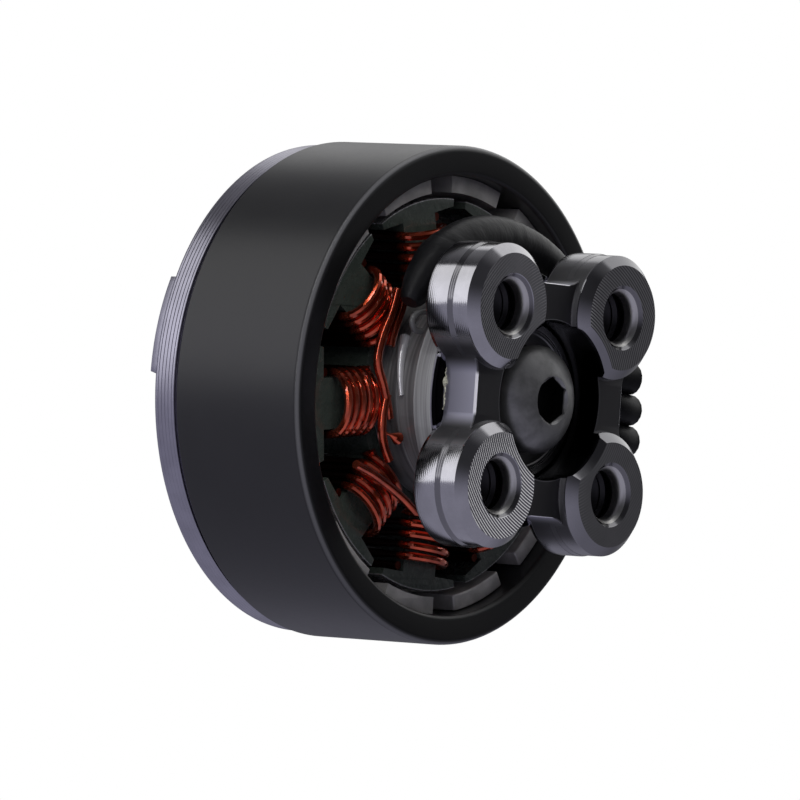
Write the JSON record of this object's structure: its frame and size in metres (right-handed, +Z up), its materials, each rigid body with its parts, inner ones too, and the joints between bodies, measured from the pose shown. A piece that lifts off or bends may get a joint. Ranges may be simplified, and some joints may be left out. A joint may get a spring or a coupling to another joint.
{
  "type": "brushless drone motor",
  "caption": "Outrunner drone motor: a black ringed bell with arc magnets turns on ball bearings round a wound stator, above a machined base with tapped mounting bosses.",
  "frame": {"origin": "on the motor's axis, in the plane of the four mounting boss faces", "axes": "+Z runs up the shaft toward the propeller seat; +X points to the side where the leads leave"},
  "size_m": [0.0254, 0.0254, 0.0211],
  "materials": {
    "grey_aluminium": "grey anodised, fine turned grooves",
    "cap_aluminium": "grey anodised, turned",
    "black_steel": "black coated, satin",
    "bright_steel": "ground",
    "dark_steel": "blackened",
    "magnet_nickel": "nickel plated, satin",
    "stator_coating": "dark green-black coating, glossy",
    "enamelled_wire": "copper-red enamel, glossy",
    "black_sleeve": "matt",
    "lead_jacket": "matt silicone",
    "cage_steel": "bright"
  },
  "bodies": {
    "stator": {"base": "grey_aluminium", "stator_core": "stator_coating", "coil_1": "enamelled_wire", "coil_2": "enamelled_wire", "coil_3": "enamelled_wire", "coil_4": "enamelled_wire", "coil_5": "enamelled_wire", "coil_6": "enamelled_wire", "coil_7": "enamelled_wire", "coil_8": "enamelled_wire", "coil_9": "enamelled_wire", "lead_sleeve": "black_sleeve", "phase_lead_1": "lead_jacket", "phase_lead_2": "lead_jacket", "phase_lead_3": "lead_jacket", "jumper_wire_1": "enamelled_wire", "jumper_wire_2": "enamelled_wire", "lower_bearing_outer_ring": "bright_steel", "lower_bearing_lower_shield": "dark_steel", "lower_bearing_upper_shield": "dark_steel", "upper_bearing_outer_ring": "bright_steel", "upper_bearing_lower_shield": "dark_steel", "upper_bearing_upper_shield": "dark_steel"},
    "rotor": {"bell_cap": "cap_aluminium", "flux_ring": "black_steel", "magnet_01": "magnet_nickel", "magnet_02": "magnet_nickel", "magnet_03": "magnet_nickel", "magnet_04": "magnet_nickel", "magnet_05": "magnet_nickel", "magnet_06": "magnet_nickel", "magnet_07": "magnet_nickel", "magnet_08": "magnet_nickel", "magnet_09": "magnet_nickel", "magnet_10": "magnet_nickel", "magnet_11": "magnet_nickel", "magnet_12": "magnet_nickel", "shaft": "bright_steel", "retaining_screw": "dark_steel", "screw_washer": "bright_steel", "shim_washer": "bright_steel", "lower_bearing_inner_ring": "bright_steel", "upper_bearing_inner_ring": "bright_steel"},
    "lower_ball_cage": {"lower_bearing_balls": "cage_steel"},
    "upper_ball_cage": {"upper_bearing_balls": "cage_steel"}
  },
  "joints": [
    {"name": "rotor_spin", "type": "hinge", "parent": "stator", "child": "rotor", "pos_m": [0, 0, 0.0105], "axis": [0, 0, 1], "continuous": true},
    {"name": "lower_cage_spin", "type": "hinge", "parent": "stator", "child": "lower_ball_cage", "pos_m": [0, 0, 0.0039], "axis": [0, 0, 1], "continuous": true},
    {"name": "upper_cage_spin", "type": "hinge", "parent": "stator", "child": "upper_ball_cage", "pos_m": [0, 0, 0.01294], "axis": [0, 0, 1], "continuous": true}
  ],
  "couplings": [
    {"joint": "lower_cage_spin", "follows": "rotor_spin", "ratio": 0.4},
    {"joint": "upper_cage_spin", "follows": "rotor_spin", "ratio": 0.4}
  ]
}
